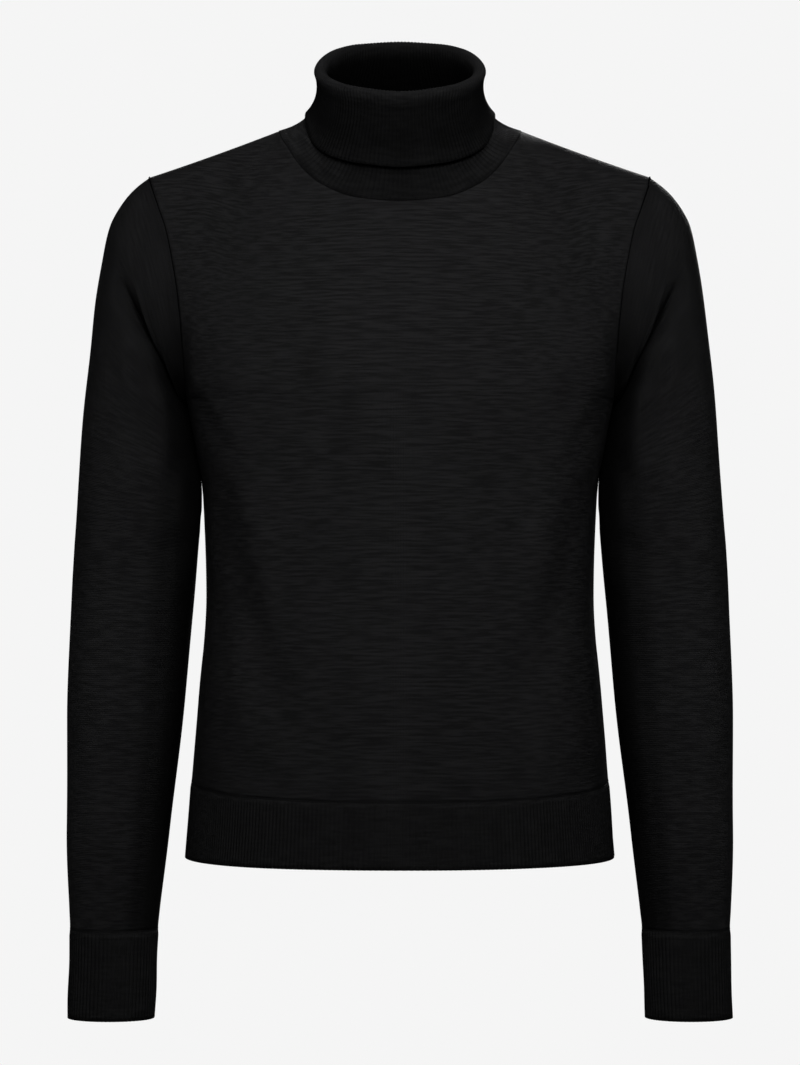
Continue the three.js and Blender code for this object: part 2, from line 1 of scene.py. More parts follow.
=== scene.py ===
import bpy
import numpy as np
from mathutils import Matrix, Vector


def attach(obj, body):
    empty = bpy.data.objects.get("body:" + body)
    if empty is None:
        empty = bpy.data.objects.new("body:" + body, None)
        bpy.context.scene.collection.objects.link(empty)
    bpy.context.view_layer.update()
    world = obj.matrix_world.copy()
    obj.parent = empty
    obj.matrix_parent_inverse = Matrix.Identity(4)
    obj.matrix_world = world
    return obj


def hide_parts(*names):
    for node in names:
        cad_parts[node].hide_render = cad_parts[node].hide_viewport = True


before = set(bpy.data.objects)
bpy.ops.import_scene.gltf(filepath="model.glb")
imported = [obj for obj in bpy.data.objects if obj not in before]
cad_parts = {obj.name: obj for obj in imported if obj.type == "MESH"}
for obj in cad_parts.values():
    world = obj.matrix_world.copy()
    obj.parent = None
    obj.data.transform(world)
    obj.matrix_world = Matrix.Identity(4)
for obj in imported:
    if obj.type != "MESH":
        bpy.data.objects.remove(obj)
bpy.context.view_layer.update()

# Turtleneck pullover in a fine black knit, filled out as if worn.
# Shapes are worked out in millimetres and written to the meshes in metres.

mm = 0.001


# Helpers for smooth tables, curves and surfaces

def smoothCurve(table, along, column, flatEnds=False):
    # a smooth curve through one column of a table, which never swings past its rows
    x = np.array(table[along], float)
    y = np.array(table[column], float)
    secant = np.diff(y) / np.diff(x)
    slope = np.zeros_like(x)
    if not flatEnds:
        slope[0], slope[-1] = secant[0], secant[-1]
    same = secant[:-1] * secant[1:] > 0
    total = np.where(same, secant[:-1] + secant[1:], 1.0)
    slope[1:-1] = np.where(same, 2 * secant[:-1] * secant[1:] / total, 0.0)

    def value(at):
        at = np.asarray(at, float)
        i = np.clip(np.searchsorted(x, at) - 1, 0, len(x) - 2)
        span = x[i + 1] - x[i]
        t = (at - x[i]) / span
        rise = y[i] + (y[i + 1] - y[i]) * t * t * (3 - 2 * t)
        return rise + span * t * (1 - t) * (slope[i] * (1 - t) - slope[i + 1] * t)
    return value


def ease(value):
    t = np.clip(value, 0, 1)
    return t * t * (3 - 2 * t)


def hermite(start, leave, end, arrive, t):
    # leaves the start along one direction and arrives at the end along the other
    t = np.asarray(t, float)[..., None]
    return ((2 * t**3 - 3 * t**2 + 1) * start + (t**3 - 2 * t**2 + t) * leave
            + (3 * t**2 - 2 * t**3) * end + (t**3 - t**2) * arrive)


def unit(vectors):
    length = np.linalg.norm(vectors, axis=-1, keepdims=True)
    return vectors / np.maximum(length, 1e-9)


def stack(x, y, z):
    return np.stack(np.broadcast_arrays(x, y, z), axis=-1).astype(float)


def gridNormals(points, closed):
    # normals of a grid of points from its central differences, rows by columns
    if closed:
        across = np.roll(points, -1, axis=1) - np.roll(points, 1, axis=1)
    else:
        across = np.gradient(points, axis=1)
    up = np.gradient(points, axis=0)
    return unit(np.cross(across, up))


def softFolds(u, v, folds):
    # sum of soft ridges and troughs, each falling off with the distance to its own line and
    # fading towards both of its ends
    height = np.zeros(np.broadcast(u, v).shape)
    for fromU, fromV, toU, toV, width, rise in folds:
        runU, runV = toU - fromU, toV - fromV
        along = ((u - fromU) * runU + (v - fromV) * runV) / (runU**2 + runV**2)
        near = np.clip(along, 0, 1)
        distance = np.hypot(u - fromU - near * runU, v - fromV - near * runV) / width
        taper = 1 - 0.55 * np.clip(np.abs(2 * along - 1), 0, 1) ** 2
        height += rise * taper * np.exp(-distance**2)
    return height


def ripple(u, v, seed, waves, low, high):
    # a quiet unevenness: a few sine waves with seeded directions, lengths and phases
    rng = np.random.default_rng(seed)
    total = np.zeros(np.broadcast(u, v).shape)
    for _ in range(waves):
        angle, phase = rng.uniform(0, np.pi), rng.uniform(0, 2 * np.pi)
        length = rng.uniform(low, high)
        total += np.sin(2 * np.pi * (u * np.cos(angle) + v * np.sin(angle)) / length + phase)
    return total / np.sqrt(waves)


def buildGrid(name, points, uv, closed, flip=False, ringed=False):
    # one mesh from a grid of points; uv is in millimetres of cloth
    rows, columns = points.shape[:2]
    ids = np.arange(rows * columns).reshape(rows, columns)
    if closed:
        ids = np.concatenate([ids, ids[:, :1]], axis=1)
    if ringed:
        ids = np.concatenate([ids, ids[:1]])
    quads = np.stack([ids[:-1, :-1], ids[:-1, 1:], ids[1:, 1:], ids[1:, :-1]], axis=-1).reshape(-1, 4)
    uvGrid = np.stack([uv[:-1, :-1], uv[:-1, 1:], uv[1:, 1:], uv[1:, :-1]], axis=2).reshape(-1, 4, 2)
    if flip:
        quads, uvGrid = quads[:, ::-1], uvGrid[:, ::-1]
    mesh = bpy.data.meshes.new(name)
    mesh.vertices.add(rows * columns)
    mesh.vertices.foreach_set("co", (points.reshape(-1) * mm).astype(np.float32))
    mesh.loops.add(quads.size)
    mesh.loops.foreach_set("vertex_index", quads.reshape(-1).astype(np.int32))
    mesh.polygons.add(len(quads))
    mesh.polygons.foreach_set("loop_start", np.arange(0, quads.size, 4, dtype=np.int32))
    mesh.polygons.foreach_set("use_smooth", np.ones(len(quads), dtype=bool))
    layer = mesh.uv_layers.new(name="clothMm")
    layer.data.foreach_set("uv", uvGrid.reshape(-1).astype(np.float32))
    mesh.update(calc_edges=True)
    mesh.validate()
    piece = bpy.data.objects.new(name, mesh)
    bpy.context.scene.collection.objects.link(piece)
    return piece


def giveWall(piece, thickness, offset, outside, inside):
    # thickens the surface inwards and gives the two sides of the cloth their materials
    wall = piece.modifiers.new("wall", "SOLIDIFY")
    wall.thickness = thickness * mm
    wall.offset = offset
    wall.use_even_offset = False
    piece.data.materials.append(outside)
    piece.data.materials.append(inside)
    wall.material_offset = 1
    return piece


def clothArea(points, closed):
    # area in square metres from the grid's own quads
    if closed:
        points = np.concatenate([points, points[:, :1]], axis=1)
    p = points * mm
    one = np.cross(p[:-1, 1:] - p[:-1, :-1], p[1:, :-1] - p[:-1, :-1])
    two = np.cross(p[:-1, 1:] - p[1:, 1:], p[1:, :-1] - p[1:, 1:])
    return float((np.linalg.norm(one, axis=-1) + np.linalg.norm(two, axis=-1)).sum() / 2)


# Camera

camera = {
    "distance": 2.62,           # from the lens to the plane of the shoulders
    "height": -0.3464,
    "lens": 104.2,
    "sensor": 36.0,
}


def makeCamera(view):
    data = bpy.data.cameras.new("camera")
    data.lens, data.sensor_width = view["lens"], view["sensor"]
    data.sensor_fit = "AUTO"
    data.clip_end = 50
    lens = bpy.data.objects.new("camera", data)
    lens.location = (0, -view["distance"], view["height"])
    lens.rotation_euler = (np.pi / 2, 0, 0)
    bpy.context.scene.collection.objects.link(lens)
    bpy.context.scene.camera = lens


makeCamera(camera)
print("camera ready")


# Shader groups

def addNode(tree, kind, **values):
    node = tree.nodes.new(kind)
    for key, value in values.items():
        setattr(node, key, value)
    return node


def newGroup(name, inputs, outputs):
    group = bpy.data.node_groups.new(name, "ShaderNodeTree")
    for label, kind, value in inputs:
        socket = group.interface.new_socket(name=label, in_out="INPUT", socket_type=kind)
        if value is not None:
            socket.default_value = value
    for label, kind in outputs:
        group.interface.new_socket(name=label, in_out="OUTPUT", socket_type=kind)
    return group, addNode(group, "NodeGroupInput"), addNode(group, "NodeGroupOutput")


def mathNode(tree, operation, first, second=None, third=None):
    node = addNode(tree, "ShaderNodeMath", operation=operation)
    for socket, value in zip(node.inputs, (first, second, third)):
        if value is None:
            continue
        if isinstance(value, (int, float)):
            socket.default_value = value
        else:
            tree.links.new(value, socket)
    return node.outputs[0]


def knitStitchGroup():
    # plain knit stitches as rows of V: two slanted legs to a wale, one V to a course
    group, inside, outside = newGroup("knitStitch", [
        ("Cloth", "NodeSocketVector", None), ("Wale", "NodeSocketFloat", 1.4),
        ("Course", "NodeSocketFloat", 1.1), ("Slant", "NodeSocketFloat", 0.9)],
        [("Height", "NodeSocketFloat"), ("GapShade", "NodeSocketFloat")])
    split = addNode(group, "ShaderNodeSeparateXYZ")
    group.links.new(inside.outputs["Cloth"], split.inputs[0])
    across = mathNode(group, "DIVIDE", split.outputs[0], inside.outputs["Wale"])
    side = mathNode(group, "ABSOLUTE", mathNode(group, "SUBTRACT", mathNode(group, "FRACT", across), 0.5))
    up = mathNode(group, "DIVIDE", split.outputs[1], inside.outputs["Course"])
    slanted = mathNode(group, "ADD", up, mathNode(group, "MULTIPLY", side, inside.outputs["Slant"]))
    along = mathNode(group, "SINE", mathNode(group, "MULTIPLY", mathNode(group, "FRACT", slanted), np.pi))
    leg = mathNode(group, "SINE", mathNode(group, "MULTIPLY", side, 2 * np.pi))
    height = mathNode(group, "MULTIPLY", mathNode(group, "POWER", along, 0.6), mathNode(group, "POWER", leg, 0.7))
    group.links.new(height, outside.inputs["Height"])
    # the gap between the legs, which paints shade into the colour
    group.links.new(mathNode(group, "SUBTRACT", 1.0, height), outside.inputs["GapShade"])
    return group


def yarnStreakGroup():
    # uneven yarn: long thin streaks along the courses and broad soft blotches
    group, inside, outside = newGroup("yarnStreak", [
        ("Cloth", "NodeSocketVector", None), ("Length", "NodeSocketFloat", 14.0),
        ("Course", "NodeSocketFloat", 1.1), ("Blotch", "NodeSocketFloat", 45.0)],
        [("Streak", "NodeSocketFloat"), ("Blotch", "NodeSocketFloat")])
    split = addNode(group, "ShaderNodeSeparateXYZ")
    group.links.new(inside.outputs["Cloth"], split.inputs[0])
    join = addNode(group, "ShaderNodeCombineXYZ")
    group.links.new(mathNode(group, "DIVIDE", split.outputs[0], inside.outputs["Length"]), join.inputs[0])
    group.links.new(mathNode(group, "DIVIDE", split.outputs[1], inside.outputs["Course"]), join.inputs[1])
    thin = addNode(group, "ShaderNodeTexNoise", noise_dimensions="2D")
    thin.inputs["Scale"].default_value = 0.55
    thin.inputs["Detail"].default_value = 3.0
    thin.inputs["Roughness"].default_value = 0.62
    group.links.new(join.outputs[0], thin.inputs["Vector"])
    wide = addNode(group, "ShaderNodeVectorMath", operation="DIVIDE")
    group.links.new(inside.outputs["Cloth"], wide.inputs[0])
    group.links.new(inside.outputs["Blotch"], wide.inputs[1])
    soft = addNode(group, "ShaderNodeTexNoise", noise_dimensions="2D")
    soft.inputs["Scale"].default_value = 1.0
    soft.inputs["Detail"].default_value = 2.0
    group.links.new(wide.outputs[0], soft.inputs["Vector"])
    group.links.new(thin.outputs[0], outside.inputs["Streak"])
    group.links.new(soft.outputs[0], outside.inputs["Blotch"])
    return group


stitchGroup = knitStitchGroup()
streakGroup = yarnStreakGroup()


def paintLightAndShade(tree, cloth, colour, paintedLight, axis):
    # paints light and shade into a colour: multiplies it by factors set at places across (0) or along (1) the
    # cloth, in millimetres
    split = addNode(tree, "ShaderNodeSeparateXYZ")
    tree.links.new(cloth, split.inputs[0])
    length = paintedLight[-1][0]
    ramp = addNode(tree, "ShaderNodeValToRGB")
    ramp.color_ramp.interpolation = "EASE"
    while len(ramp.color_ramp.elements) < len(paintedLight):
        ramp.color_ramp.elements.new(0.5)
    for stop, (place, factor) in zip(ramp.color_ramp.elements, paintedLight):
        stop.position = place / length
        stop.color = (factor, factor, factor, 1)
    tree.links.new(mathNode(tree, "DIVIDE", split.outputs[axis], length), ramp.inputs["Fac"])
    product = addNode(tree, "ShaderNodeMix", data_type="RGBA", blend_type="MULTIPLY")
    product.inputs["Factor"].default_value = 1.0
    tree.links.new(colour, product.inputs["A"])
    tree.links.new(ramp.outputs["Color"], product.inputs["B"])
    return product.outputs["Result"]


def knitMaterial(name, look):
    # black wool: streaked colour and stitch relief, with sheen inputs for a nap that every look here sets to zero
    # weight
    material = bpy.data.materials.new(name)
    material.use_nodes = True
    tree = material.node_tree
    shader = tree.nodes["Principled BSDF"]
    shader.inputs["Roughness"].default_value = look["roughness"]
    shader.inputs["Sheen Weight"].default_value = look["nap"]
    shader.inputs["Sheen Roughness"].default_value = look["napRoughness"]
    shader.inputs["Sheen Tint"].default_value = look["napTint"]
    shader.inputs["Specular IOR Level"].default_value = look["specular"]
    cloth = addNode(tree, "ShaderNodeUVMap", uv_map="clothMm")
    stitch = addNode(tree, "ShaderNodeGroup", node_tree=stitchGroup)
    stitch.inputs["Wale"].default_value = look["wale"]
    stitch.inputs["Course"].default_value = look["course"]
    streak = addNode(tree, "ShaderNodeGroup", node_tree=streakGroup)
    streak.inputs["Length"].default_value = look["streakLength"]
    streak.inputs["Course"].default_value = look["course"]
    for group in (stitch, streak):
        tree.links.new(cloth.outputs[0], group.inputs["Cloth"])
    spread = addNode(tree, "ShaderNodeMapRange", interpolation_type="SMOOTHSTEP")
    spread.inputs["From Min"].default_value, spread.inputs["From Max"].default_value = 0.34, 0.68
    spread.inputs["To Min"].default_value, spread.inputs["To Max"].default_value = 0.0, look["streak"]
    tree.links.new(streak.outputs["Streak"], spread.inputs["Value"])
    blotch = mathNode(tree, "MULTIPLY", streak.outputs["Blotch"], look["blotch"])
    tone = mathNode(tree, "ADD", spread.outputs[0], blotch)
    # painted shade: the colour is darkened in the gaps between the stitch legs
    tone = mathNode(tree, "SUBTRACT", tone, mathNode(tree, "MULTIPLY", stitch.outputs["GapShade"], look["gap"]))
    ramp = addNode(tree, "ShaderNodeMix", data_type="RGBA")
    ramp.inputs["A"].default_value = (*look["dark"], 1)
    ramp.inputs["B"].default_value = (*look["light"], 1)
    tree.links.new(tone, ramp.inputs["Factor"])
    colour = ramp.outputs["Result"]
    # painted light and shade, across and along the cloth, where a look gives them
    for axis, paintedLight in ((0, "paintedLightAcross"), (1, "paintedLight")):
        if paintedLight in look:
            colour = paintLightAndShade(tree, cloth.outputs[0], colour, look[paintedLight], axis)
    tree.links.new(colour, shader.inputs["Base Color"])
    relief = mathNode(tree, "ADD", mathNode(tree, "MULTIPLY", stitch.outputs["Height"], look["relief"]),
                      mathNode(tree, "MULTIPLY", streak.outputs["Streak"], look["slub"]))
    bump = addNode(tree, "ShaderNodeBump")
    bump.inputs["Strength"].default_value = look["bump"]
    bump.inputs["Distance"].default_value = 0.0006
    tree.links.new(relief, bump.inputs["Height"])
    tree.links.new(bump.outputs[0], shader.inputs["Normal"])
    return material


plainKnit = {
    "wale": 1.35, "course": 1.05, "streakLength": 12.0,
    "dark": (0.0042, 0.0042, 0.0044), "light": (0.0100, 0.0100, 0.0104),
    "streak": 0.88, "blotch": 0.4, "gap": 0.3,
    "relief": 1.0, "slub": 0.8, "bump": 0.6,
    "roughness": 0.56, "specular": 0.042,
    "nap": 0.0, "napRoughness": 0.45, "napTint": (0.9, 0.9, 0.92, 1)}
# painted shade: the body darker towards the hem, below the light from above, and the sleeves darker towards the
# armhole
bodyKnit = knitMaterial("bodyKnit", plainKnit | {
    "paintedLight": [(0, 0.84), (120, 0.92), (250, 1.02), (380, 1.02), (600, 1.08)]})
sleeveKnit = knitMaterial("sleeveKnit", plainKnit | {
    "streak": 0.7,
    "paintedLight": [(0, 0.84), (120, 0.82), (300, 0.92), (500, 1.02), (640, 1.02)],
    # painted shade, nearly black where it faces the body
    "paintedLightAcross": [(0, 0.05), (36, 0.1), (54, 0.4), (78, 0.9), (100, 1.0), (270, 1.0), (312, 0.3), (350, 0.05)]})
# darker than the plain knit: painted shade for the furrows between the ribs
ribKnit = knitMaterial("fineRibKnit", {
    "wale": 1.5, "course": 1.2, "streakLength": 9.0,
    "dark": (0.0030, 0.0030, 0.0031), "light": (0.0062, 0.0062, 0.0064),
    "streak": 0.8, "blotch": 0.2, "gap": 0.22,
    "relief": 1.0, "slub": 0.4, "bump": 0.45,
    "roughness": 0.6, "specular": 0.032,
    "nap": 0.0, "napRoughness": 0.45, "napTint": (0.9, 0.9, 0.92, 1)})
collarKnit = knitMaterial("collarRibKnit", {
    "wale": 1.5, "course": 1.2, "streakLength": 9.0,
    "dark": (0.0076, 0.0076, 0.0079), "light": (0.0150, 0.0150, 0.0155),
    "streak": 0.7, "blotch": 0.15, "gap": 0.25,
    "relief": 1.0, "slub": 0.4, "bump": 0.5,
    "roughness": 0.6, "specular": 0.015,
    "nap": 0.0, "napRoughness": 0.45, "napTint": (0.9, 0.9, 0.92, 1),
    # a brighter copy of the rib knit with painted light: deep painted shade inside the neck, a painted highlight
    # on the roll and painted shade on the fold-over under it
    "paintedLight": [(0, 0.06), (46, 0.07), (60, 0.6), (84, 1.0), (106, 0.8), (120, 0.22), (144, 0.17), (165, 0.30)]})
standKnit = knitMaterial("standRibKnit", {
    "wale": 1.5, "course": 1.2, "streakLength": 9.0,
    "dark": (0.0060, 0.0060, 0.0062), "light": (0.0120, 0.0120, 0.0124),
    "streak": 0.7, "blotch": 0.15, "gap": 0.25,
    "relief": 1.0, "slub": 0.4, "bump": 0.5,
    "roughness": 0.6, "specular": 0.02,
    "nap": 0.0, "napRoughness": 0.45, "napTint": (0.9, 0.9, 0.92, 1),
    # a darker copy of the collar knit with painted shade: darkest in the front middle, paler where it lies over
    # the shoulders in the light from above
    "paintedLightAcross": [(0, 0.7), (70, 0.8), (120, 1.0), (170, 0.5), (220, 0.37), (270, 0.5), (320, 1.0), (440, 0.7)]})
seamYarn = knitMaterial("seamYarn", {
    "wale": 2.2, "course": 1.1, "streakLength": 4.0,
    "dark": (0.0036, 0.0036, 0.0037), "light": (0.0080, 0.0080, 0.0082),
    "streak": 0.5, "blotch": 0.1, "gap": 0.3,
    "relief": 1.0, "slub": 0.3, "bump": 0.4,
    "roughness": 0.6, "specular": 0.02,
    "nap": 0.0, "napRoughness": 0.45, "napTint": (0.9, 0.9, 0.92, 1)})
# the reverse of the knit, which shows inside the neck; it is made far darker than the face as painted shade inside
# the garment
shadedReverseKnit = knitMaterial("shadedReverseKnit", {
    "wale": 1.5, "course": 1.2, "streakLength": 9.0,
    "dark": (0.0008, 0.0008, 0.0009), "light": (0.0018, 0.0018, 0.0019),
    "streak": 0.7, "blotch": 0.15, "gap": 0.25,
    "relief": 1.0, "slub": 0.4, "bump": 0.5,
    "roughness": 0.8, "specular": 0.0,
    "nap": 0.0, "napRoughness": 0.45, "napTint": (0.9, 0.9, 0.92, 1)})
print("materials ready")


# The body's own shape, which every panel, seam and rib follows

body = {
    "z": [-621, -556, -489, -400, -319, -270, -235],
    "halfWidth": [181.6, 176.6, 171.0, 164.4, 167.0, 174.3, 181.0],
    "front": [117, 119, 118, 114, 117, 121, 123],
    "back": [110, 112, 108, 99, 104, 111, 116],
    "squareness": 2.35,
    "hemBottom": -621, "hemTop": -556, "hemDip": 10,
    "armpitZ": -235, "armpitTuck": 0.1, "armholePull": 2.2,
    "seamGap": 0.3, "wall": 1.2, "ribWall": 1.5, "ribRise": 0.6,
}
shoulder = {
    "tip": (213, 6, -44.3), "neck": (103, 6, -4.8), "neckColumn": 0.566, "sag": 0.8,
    "neckRoundness": 60, "sideRoundness": 70, "shoulderRoundness": 90,
}
armhole = {
    "z": [-235, -215, -185, -150, -120, -93, -72, -44.3],
    "x": [181, 180.5, 181.5, 184.5, 189.5, 195.5, 203, 213],
    "halfDepth": 58,
}
neck = {
    "turn": [0, 20, 40, 52, 70, 90, 130, 180],
    "z": [-74, -70.5, -57, -43, -19, -4.8, -2, 1],
    "front": -88, "back": 72,
}
frontTop = {
    "column": [0, 0.3, 0.566, 0.75, 1],
    "x": [0, -0.42, -0.66, -0.2, 0],
    "y": [0.5, 0.5, 0.69, 0.98, 1],
    "z": [0.87, 0.76, 0.215, 0.07, 0],
}
backTop = {
    "column": [0, 0.3, 0.566, 0.75, 1],
    "x": [0, -0.5, -0.66, -0.2, 0],
    "y": [-0.35, -0.4, -0.69, -0.98, -1],
    "z": [0.94, 0.77, 0.215, 0.07, 0],
}

bodyHalfWidth = smoothCurve(body, "z", "halfWidth")
bodyDepths = {-1: smoothCurve(body, "z", "front"), 1: smoothCurve(body, "z", "back")}
armholeX = smoothCurve(armhole, "z", "x")
neckZ = smoothCurve(neck, "turn", "z", flatEnds=True)
topCurves = {half: [smoothCurve(table, "column", key) for key in "xyz"]
             for half, table in ((-1, frontTop), (1, backTop))}


def bodyPoint(half, column, z):
    # squared ellipse at one height, by column from -1 to 1 across one half
    angle = column * np.pi / 2
    power = 2 / body["squareness"]
    across = np.sign(column) * np.abs(np.sin(angle)) ** power
    out = np.maximum(np.cos(angle), 0) ** power
    return stack(across * bodyHalfWidth(z), half * bodyDepths[half](z) * out, z)


def bodySide(y, z):
    # how far the body reaches sideways at a height and depth
    depth = np.where(y < 0, bodyDepths[-1](z), bodyDepths[1](z))
    share = np.minimum(np.abs(y) / depth, 1) ** body["squareness"]
    return bodyHalfWidth(z) * (1 - share) ** (1 / body["squareness"])


def armholePoint(half, side, rise):
    # an upright oval from the armpit to the shoulder tip, drawn in towards the chest by armholeX
    angle = (rise - 0.5) * np.pi
    low, high = body["armpitZ"], shoulder["tip"][2]
    z = (low + high) / 2 + (high - low) / 2 * np.sin(angle)
    depth = armhole["halfDepth"] * (1 - 0.5 * np.maximum(rise - 0.4, 0))
    y = shoulder["tip"][1] * ease(rise * 2) + half * depth * np.maximum(np.cos(angle), 0)
    return stack(side * armholeX(z), y, z)


def neckSeam(turn):
    # an oval seen from above, by turn from the front middle to the back middle
    angle = np.radians(turn)
    reach = np.where(np.cos(angle) > 0, neck["front"], neck["back"])
    middle = shoulder["neck"][1]
    y = middle + (reach - middle) * np.abs(np.cos(angle)) ** 0.95
    return stack(shoulder["neck"][0] * np.sin(angle), y, neckZ(turn))


def shoulderLine(along):
    # from the neck point to the shoulder tip, with a slight sag between them
    along = np.asarray(along, float)[..., None]
    line = np.array(shoulder["neck"]) * (1 - along) + np.array(shoulder["tip"]) * along
    return line - np.array([0.0, 0.0, shoulder["sag"]]) * 4 * along * (1 - along)


def topEdge(half, column):
    side = np.where(column < 0, -1.0, 1.0)
    reach = np.abs(column)
    quarter = 90 * np.minimum(reach / shoulder["neckColumn"], 1)
    onNeck = neckSeam(quarter if half < 0 else 180 - quarter)
    onShoulder = shoulderLine(np.clip((reach - shoulder["neckColumn"]) / (1 - shoulder["neckColumn"]), 0, 1))
    point = np.where((reach <= shoulder["neckColumn"])[..., None], onNeck, onShoulder)
    point[..., 0] *= side
    return point


def topDirection(half, column):
    # the way in which a panel runs into its top edge
    reach = np.abs(column)
    x, y, z = (curve(reach) for curve in topCurves[half])
    return unit(stack(np.where(column < 0, -x, x), y, z))


def hemTop(half, column):
    dip = body["hemDip"] * np.cos(column * np.pi / 2) if half < 0 else 0.0
    return body["hemTop"] - dip


def upperColumn(half, column, rise):
    # a column above the armpit: it leaves the body upright and rounds over into the top edge
    column = np.asarray(column, float)
    start = bodyPoint(half, column, body["armpitZ"])
    end = topEdge(half, column)
    leave = start - bodyPoint(half, column, body["armpitZ"] - 1)
    leave = leave * (end[..., 2:] - start[..., 2:])
    leave[..., 0] *= body["armpitTuck"]
    reach = np.abs(column)
    bend = ease((reach - shoulder["neckColumn"]) / 0.3)
    roundness = (shoulder["neckRoundness"] + shoulder["sideRoundness"] * reach
                 + shoulder["shoulderRoundness"] * bend)
    return hermite(start, leave, end, topDirection(half, column) * roundness[..., None], rise)


def plainPanel(half, column, level):
    # level 0 is the hem seam, 1 the armpit and 2 the top edge; above the armpit the columns
    # are drawn towards the armhole seam, the outermost ones all the way
    column, level = np.broadcast_arrays(column, level)
    bottom = hemTop(half, column)
    low = bodyPoint(half, column, bottom + (body["armpitZ"] - bottom) * np.minimum(level, 1))
    rise = np.clip(level - 1, 0, 1)
    side = np.where(column < 0, -1.0, 1.0)
    pull = armholePoint(half, side, rise) - upperColumn(half, side, rise)
    high = upperColumn(half, column, rise) + pull * (np.abs(column) ** body["armholePull"])[..., None]
    return np.where((level <= 1)[..., None], low, high)


# Front and back panels

frontPanel = {
    "half": -1, "node": "front_body", "columns": 168, "lowRows": 96, "highRows": 84,
    # soft ridges and troughs: from x and z, to x and z, width, rise
    "folds": [
        (-136, -275, -92, -452, 17, 4.0), (-158, -315, -100, -505, 20, -4.2),
        (-142, -430, -126, -512, 14, 3.5), (132, -285, 96, -440, 17, 3.5),
        (156, -320, 104, -490, 20, -3.9), (144, -425, 130, -500, 14, 3.0),
        (-160, -385, -132, -500, 13, -2.4), (158, -390, 136, -490, 13, -2.2),
        (-108, -470, -70, -530, 16, -1.6), (104, -455, 62, -525, 17, -1.5),
        (-172, -215, -140, -262, 8, 1.3), (-166, -238, -128, -300, 9, -1.4),
        (171, -218, 143, -258, 8, 1.2), (167, -240, 132, -296, 9, -1.3),
        (-150, -120, -128, -190, 16, -1.0), (150, -118, 130, -186, 16, -0.9),
        (-70, -545, -20, -552, 10, 0.9), (35, -543, 90, -551, 10, 0.9),
        (-120, -540, -82, -548, 9, -0.9), (118, -538, 150, -520, 10, 1.0),
    ],
    "unevenness": 0.35, "seed": 11,
}
backPanel = {
    "half": 1, "node": "back_body", "columns": 168, "lowRows": 96, "highRows": 84,
    "folds": [
        (-140, -300, -60, -420, 18, -5.0), (145, -290, 70, -400, 18, -5.0),
        (-110, -400, 20, -455, 20, 4.0), (120, -430, 10, -485, 18, -4.0),
        (-150, -345, -84, -450, 13, 2.6), (140, -350, 82, -438, 13, 2.4),
        (-120, -470, -30, -520, 15, -2.2), (96, -505, 30, -538, 14, 1.8),
        (-172, -212, -138, -266, 8, 1.4), (-166, -236, -120, -305, 9, -1.6),
        (171, -214, 141, -262, 8, 1.3), (166, -238, 126, -300, 9, -1.5),
        (-146, -110, -120, -210, 17, -1.3), (147, -112, 122, -205, 17, -1.2),
        (-40, -30, 40, -34, 14, -1.0),
    ],
    "unevenness": 0.4, "seed": 12,
}


def panelLevels(panel):
    low = np.linspace(0, 1, panel["lowRows"], endpoint=False)
    return np.concatenate([low, np.linspace(1, 2, panel["highRows"] + 1)])


def easeCorner(points, level):
    # softens, across the columns, the corner that the neck point would carry down the panel
    weight = (ease((2 - level) / 0.16) * ease((level - 1) / 0.2))[:, 1:-1, None]
    for _ in range(90):
        mean = (points[:, :-2] + points[:, 2:]) / 4 + points[:, 1:-1] / 2
        points[:, 1:-1] += (mean - points[:, 1:-1]) * weight
    return points


def panelSurface(panel, column, level):
    # the plain panel with its folds raised along its normals
    half = panel["half"]
    plain = easeCorner(plainPanel(half, column, level), level)
    normals = gridNormals(plain, False) * -half
    x, z = plain[..., 0], plain[..., 2]
    height = softFolds(x, z, panel["folds"])
    quiet = ease((2 - level) / 0.08) * ease(level / 0.05) * ease((1 - np.abs(column)) / 0.06)
    height += panel["unevenness"] * quiet * ripple(x, z, panel["seed"], 6, 60, 190)
    return plain + normals * height[..., None]


def panelCloth(points, column, level):
    # millimetres of cloth: across by column, up by height and by how far the upper part leans back
    depth = np.abs(points[..., 1])
    armpitDepth = depth[np.argmax(level[:, 0] >= 1)]
    lean = np.where(level > 1, np.maximum(armpitDepth - depth, 0), 0)
    return np.stack([column * 245, points[..., 2] - body["hemTop"] + 10 + 0.25 * lean], axis=-1)


def makePanel(panel):
    half, gap = panel["half"], body["seamGap"] / 2
    column, level = np.meshgrid(np.linspace(-1, 1, panel["columns"] + 1), panelLevels(panel))
    points = panelSurface(panel, column, level)
    area = clothArea(points, False)
    cloth = panelCloth(points, column, level)
    points[:, 0, 1] += half * gap
    points[:, -1, 1] += half * gap
    points[0, :, 2] += gap
    points[-1, :, 1] += half * gap * 0.5
    piece = buildGrid(panel["node"] + "_knit", points, cloth, False, flip=half > 0)
    giveWall(piece, body["wall"], -1, bodyKnit, shadedReverseKnit)
    return piece, area


# Hem ribs

hemLook = {"ribs": 302, "perRib": 6, "rows": 14, "plainShare": 0.035, "wave": 0.35}


def ribWave(phase, sharpness=0.75):
    # rounded crests with narrow furrows between them
    wave = np.cos(2 * np.pi * phase)
    return np.sign(wave) * np.abs(wave) ** sharpness


